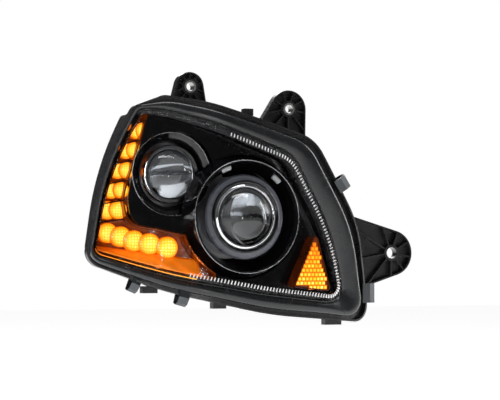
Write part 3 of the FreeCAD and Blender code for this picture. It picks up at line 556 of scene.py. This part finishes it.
def dome_places():
    """(right, up, radius) of each dome in millimetres: pairs up the column, then the bottom row."""
    places = []
    for i in range(DOME_ROWS):
        up = 8 + ROW_PITCH * i
        radius = 12.2 if i == 0 else 10.8
        outer = max(-167 + 1.2 * i + 1.25 * i * i, left_edge(up) + radius)
        places.append((outer, up, radius))
        places.append((outer + 11 - 0.8 * i, up + 0.5, radius))
    bottom = ((-165, -21), (-151, -26), (-137, -31.5), (-120, -35.5), (-99, -40))
    for k, (x, up) in enumerate(bottom):
        radius = 13.2 + 0.25 * k
        places.append((max(x, left_edge(up) + radius), up, radius))
    return places


def square_to_round(a, b):
    """A place on the square -1..1 by -1..1, mapped onto the unit disc."""
    return a * math.sqrt(1 - b * b / 2), b * math.sqrt(1 - a * a / 2)


def grid_edge(corners, cells):
    """The numbers of a square grid's outer points, once around."""
    return ([corners[i, 0] for i in range(cells)] + [corners[cells, j] for j in range(cells)]
            + [corners[cells - i, cells] for i in range(cells)]
            + [corners[0, cells - j] for j in range(cells)])


def make_dome(number, x, z, radius, rng):
    """A lens dome of small pillows that glow brightest in the middle, on a short barrel."""
    cells = 7
    crown = 0.62 * radius
    barrel = 9.0
    pillow = 0.75
    corner_glow, rim_glow, barrel_glow = 0.60, 0.12, 0.10
    roundness, dimming = 0.86, 0.62
    streak_glow, streak_height, streak_fade = 0.10, 0.16, 0.6
    tip = cover_front(x, z) + 24.5
    points, glow, faces = [], [], []

    def add(u, v, lift, shine):
        """One point of the dome with its brightness; gives back its number."""
        flat = u * u + v * v
        depth = tip + crown * (1 - math.sqrt(max(1 - roundness * flat, 0))) - lift
        points.append(at(x + u * radius, depth, z + v * radius))
        streak = streak_glow * math.exp(-(v / streak_height) ** 2)
        level = shine * (1.05 - dimming * flat * flat) + streak * (1 - streak_fade * flat)
        glow.append(max(0.0, min(1.0, level)))
        return len(points) - 1

    corners = {}
    for i in range(cells + 1):
        for j in range(cells + 1):
            u, v = square_to_round(2 * i / cells - 1, 2 * j / cells - 1)
            corners[i, j] = add(u, v, 0.0, corner_glow)
    for i in range(cells):
        for j in range(cells):
            u, v = square_to_round(2 * (i + 0.5) / cells - 1, 2 * (j + 0.5) / cells - 1)
            top = add(u, v, pillow, 1.0 + rng.uniform(-0.16, 0.06))
            loop = [corners[i, j], corners[i + 1, j], corners[i + 1, j + 1], corners[i, j + 1]]
            faces += [(loop[k], loop[(k + 1) % 4], top) for k in range(4)]
    edge = grid_edge(corners, cells)
    back = []
    for n in edge:
        glow[n] = rim_glow
        points.append(points[n] + Vector((0, barrel * MM, 0)))
        glow.append(barrel_glow)
        back.append(len(points) - 1)
    count = len(edge)
    faces += [(edge[k], back[k], back[(k + 1) % count], edge[(k + 1) % count]) for k in range(count)]
    faces.append(tuple(back))
    dome = piece(f"signal_dome_{number:02d}", points, faces, AMBER_GLOW, smooth=False, glow=glow)


def make_shelf():
    """The sloping shelf between the lens's lower edge and the bottom row of domes; its emission is a painted
    reflection of the domes.
    """
    columns, rows = 40, 7
    points, glow, faces = [], [], []
    rng = random.Random(4)
    for i in range(columns + 1):
        share = i / columns
        x = -180 + 118 * share
        down = edge_of(LENS_LOOP, Vector((ORIGIN.x + x * MM, ORIGIN.z)), Vector((0, -1))) / MM
        low = -down + 7.5
        high = max(low + 5, -38 - 18 * share)
        for j in range(rows + 1):
            up = j / rows
            depth = cover_front(x, low + 2) + 13 + 21 * up
            points.append(at(x, depth, low + (high - low) * up))
            # Painted reflection: bright waves near the shelf's foot, fading at the left end and upwards.
            reflection_wave = 0.5 + 0.5 * math.sin(14 * share + 5 * up + 2 * math.sin(9 * share))
            fade = min(1.0, share * 5) * (1 - 0.35 * up)
            shine = fade * (0.05 + 0.30 * reflection_wave ** 6 * (1 - up) + rng.uniform(-0.02, 0.02))
            glow.append(max(0.02, min(0.6, shine)))
    for i in range(columns):
        for j in range(rows):
            a = i * (rows + 1) + j
            faces.append((a, a + rows + 1, a + rows + 2, a + 1))
    shelf = piece("signal_shelf", points, faces, AMBER_GLOW, glow=glow)
    thick = shelf.modifiers.new("thick", "SOLIDIFY")
    thick.thickness = 1.2 * MM


def make_dividers():
    """Dark fins between the rows of domes."""
    front_depth, back_depth, half_thick = 15.0, 40.0, 0.8
    for i in range(DOME_ROWS + 1):
        up = -6.5 + ROW_PITCH * i + (0 if i else 1.5)
        left = left_edge(up) + 0.6
        right = left + (26 - 2.6 * i)
        points = []
        for x, tilt in ((left, -3.0), (right, 1.5)):
            front = cover_front(x, up)
            for depth in (front_depth, back_depth):
                for thick in (-half_thick, half_thick):
                    points.append(at(x, front + depth, up + tilt + thick))
        faces = [(0, 1, 3, 2), (4, 5, 7, 6), (0, 1, 5, 4), (2, 3, 7, 6), (0, 2, 6, 4), (1, 3, 7, 5)]
        fin = piece(f"signal_divider_{i + 1}", points, faces, GLOSS_BLACK, smooth=False)


def make_marker_prisms():
    """The side marker's field of small lit prisms over its triangular plate."""
    low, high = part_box("side_marker_reflector")
    tree = surface_tree("side_marker_reflector")
    rng = random.Random(9)
    pitch = 5.6 * MM
    foot_share, tip_share = 0.48, 0.2
    foot_lift, tip_lift = 0.1 * MM, 2.0 * MM
    foot_glow = 0.16
    square = ((-1, -1), (1, -1), (1, 1), (-1, 1))
    points, glow, faces = [], [], []
    rows = int((high.z - low.z) / pitch)
    for j in range(rows):
        z = low.z + (j + 0.5) * pitch
        up = (z - low.z) / (high.z - low.z)
        for i in range(int((high.x - low.x) / pitch) + 1):
            x = low.x + (i + 0.5 * (j % 2)) * pitch
            hit = depth_of(tree, x, z)
            beside = [depth_of(tree, x + side * pitch * 0.3, z) for side in (-1, 1)]
            if hit is None or None in beside:
                continue
            first = len(points)
            shine = 1.0 - 0.5 * up + rng.uniform(-0.22, 0.06)
            for size, lift, brightness in ((foot_share, foot_lift, foot_glow),
                                           (tip_share, tip_lift, min(1.0, shine))):
                for dx, dz in square:
                    points.append(Vector((x + dx * pitch * size, hit - lift, z + dz * pitch * size)))
                    glow.append(brightness)
            faces.append((first + 4, first + 5, first + 6, first + 7))
            faces.append((first + 3, first + 2, first + 1, first))
            faces += [(first + k, first + (k + 1) % 4, first + 4 + (k + 1) % 4, first + 4 + k)
                      for k in range(4)]
    prisms = piece("marker_prisms", points, faces, AMBER_GLOW, smooth=False, glow=glow)


# --- projectors ------------------------------------------------------------------------------------

def make_projector_trim():
    """Three thin bright beads, the low beam's lens retainer and trim bevel, and two pale grey patches on the
    shroud that are painted reflections of the softboxes.
    """
    low_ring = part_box("low_beam_trim_ring")
    low_front = (low_ring[0].y - ORIGIN.y) / MM
    low = Vector((LOW_AXIS.x, ORIGIN.y, LOW_AXIS.z))
    high = Vector((HIGH_AXIS.x, ORIGIN.y, HIGH_AXIS.z))
    shroud_front = (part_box("low_beam_shroud")[0].y - ORIGIN.y) / MM
    step_front = (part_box("high_beam_surround")[0].y - ORIGIN.y) / MM
    beads = (("shroud_bead", low, 73, shroud_front, 0.55),
             ("recess_bead", high, 53.6, step_front, 0.45),
             ("surround_bead", high, 43, step_front + 9, 0.45))
    for name, axis, radius, depth, thick in beads:
        lathe(name, axis, round_section(radius, depth, thick), BEAD_METAL)
    retainer = [(38.3, low_front - 0.2), (38.8, low_front - 1.6), (39.8, low_front - 1.9),
                (40.6, low_front - 1.0), (42.0, low_front - 0.4), (42.6, low_front + 0.6),
                (38.4, low_front + 0.8)]
    made = lathe("low_lens_retainer", low, retainer, CHROME, "aim_carrier")
    bevel = [(42.4, low_front + 0.3), (43.5, low_front - 1.4),
             (47.0, low_front - 2.2), (47.4, low_front - 0.1)]
    lathe("low_trim_bevel", low, bevel, GLOSS_BLACK, "aim_carrier")
    # The two pale grey patches paint the softboxes' reflections in the shroud's dish; they are not parts of
    # the lamp.
    for name, start in (("shroud_reflection_patch_left", 108 / 360), ("shroud_reflection_patch_right", 43 / 360)):
        reflection_patch = [(63, shroud_front + 9.5), (64.5, shroud_front + 6.0), (68.5, shroud_front + 4.5),
               (70.5, shroud_front + 6.5), (69, shroud_front + 10.5)]
        lathe(name, low, reflection_patch, PAINTED_REFLECTION_GREY, steps=200, start=start, turn=11 / 360)


make_rim_bead()
make_edge_prisms()
make_edge_line()
DICE = random.Random(21)
for number, (x, z, radius) in enumerate(dome_places(), start=1):
    make_dome(number, x, z, radius, DICE)
make_shelf()
make_dividers()
make_marker_prisms()
make_projector_trim()


# --- camera, floor and light ----------------------------------------------------------------------

AZIMUTH = math.radians(-24)
ELEVATION = math.radians(-2)
BACK = Vector((math.sin(AZIMUTH) * math.cos(ELEVATION), -math.cos(AZIMUTH) * math.cos(ELEVATION),
               math.sin(ELEVATION)))
RIGHT = Vector((math.cos(AZIMUTH), math.sin(AZIMUTH), 0))
UP = Vector((-math.sin(AZIMUTH) * math.sin(ELEVATION), math.cos(AZIMUTH) * math.sin(ELEVATION),
             math.cos(ELEVATION)))
PICTURE_WIDTH = 0.65
LENS = 130.0
SENSOR = 36.0
AIM_RIGHT = 0.0117
AIM_UP = 0.0221


def make_camera():
    """A long lens in front of the lamp, 24 degrees round to the viewer's left and 2 degrees below."""
    data = bpy.data.cameras.new("camera")
    data.lens = LENS
    data.sensor_width = SENSOR
    camera = bpy.data.objects.new("camera", data)
    bpy.context.scene.collection.objects.link(camera)
    aim = ORIGIN + RIGHT * AIM_RIGHT + UP * AIM_UP
    camera.location = aim + BACK * (PICTURE_WIDTH * LENS / SENSOR)
    camera.rotation_mode = "QUATERNION"
    camera.rotation_quaternion = (-BACK).to_track_quat("-Z", "Y")
    bpy.context.scene.camera = camera


def area_light(name, right, up, away, wide, tall, power):
    """A white softbox that faces the lamp, placed in the viewer's directions."""
    data = bpy.data.lights.new(name, "AREA")
    data.shape = "RECTANGLE"
    data.size = wide
    data.size_y = tall
    data.energy = power
    light = bpy.data.objects.new(name, data)
    bpy.context.scene.collection.objects.link(light)
    light.location = ORIGIN + RIGHT * right + UP * up + BACK * away
    light.rotation_mode = "QUATERNION"
    light.rotation_quaternion = (ORIGIN - light.location).to_track_quat("-Z", "Y")


def make_world():
    """White to the camera, dim grey to everything else, so that the black parts stay black."""
    world = bpy.data.worlds.new("studio")
    bpy.context.scene.world = world
    world.use_nodes = True
    tree = world.node_tree
    background = tree.nodes["Background"]
    path = tree.nodes.new("ShaderNodeLightPath")
    place = tree.nodes.new("ShaderNodeTexCoord")
    split = tree.nodes.new("ShaderNodeSeparateXYZ")
    tree.links.new(place.outputs["Generated"], split.inputs["Vector"])
    sky = tree.nodes.new("ShaderNodeMapRange")
    sky.inputs["From Min"].default_value = -0.2
    sky.inputs["From Max"].default_value = 0.9
    sky.inputs["To Min"].default_value = 0.02
    sky.inputs["To Max"].default_value = 0.22
    tree.links.new(split.outputs["Z"], sky.inputs["Value"])
    strength = tree.nodes.new("ShaderNodeMix")
    strength.inputs["B"].default_value = 1.0
    tree.links.new(path.outputs["Is Camera Ray"], strength.inputs["Factor"])
    tree.links.new(sky.outputs["Result"], strength.inputs["A"])
    tree.links.new(strength.outputs["Result"], background.inputs["Strength"])
    background.inputs["Color"].default_value = (1, 1, 1, 1)


def make_floor():
    """A pale floor well below the lamp, which hangs from its ears."""
    low, high = CAD_BOX
    size = 12.0
    drop = 0.14
    bpy.ops.mesh.primitive_plane_add(size=size, location=((low.x + high.x) / 2, 0, low.z - drop))
    floor = bpy.context.object
    floor.name = "floor"
    material, tree, surface = shader("pale_floor", (0.9, 0.9, 0.9), 0.7)
    surface.inputs["Emission Color"].default_value = (1, 1, 1, 1)
    surface.inputs["Emission Strength"].default_value = 0.8
    tree.links.new(spread(tree, noise(tree, 3.0), 0.62, 0.78), surface.inputs["Roughness"])
    floor.data.materials.append(material)


def make_studio():
    """Each softbox has its place (right, up, towards the viewer), width and height in metres, then watts."""
    make_world()
    make_floor()
    make_camera()
    area_light("key_left", -1.6, 0.6, 0.7, 0.7, 1.4, 22)
    area_light("fill_right", 1.9, 0.5, -0.5, 0.5, 1.4, 20)
    area_light("top", 0.1, 1.8, 0.3, 1.6, 0.6, 24)
    area_light("small_front", -0.25, -0.02, 2.4, 0.10, 0.16, 2)
    area_light("second_front", 0.62, -0.12, 2.2, 0.14, 0.24, 2.5)
    area_light("back", 0.2, 0.9, -1.6, 1.6, 1.0, 24)
    bpy.context.scene.view_settings.view_transform = "Standard"


make_studio()
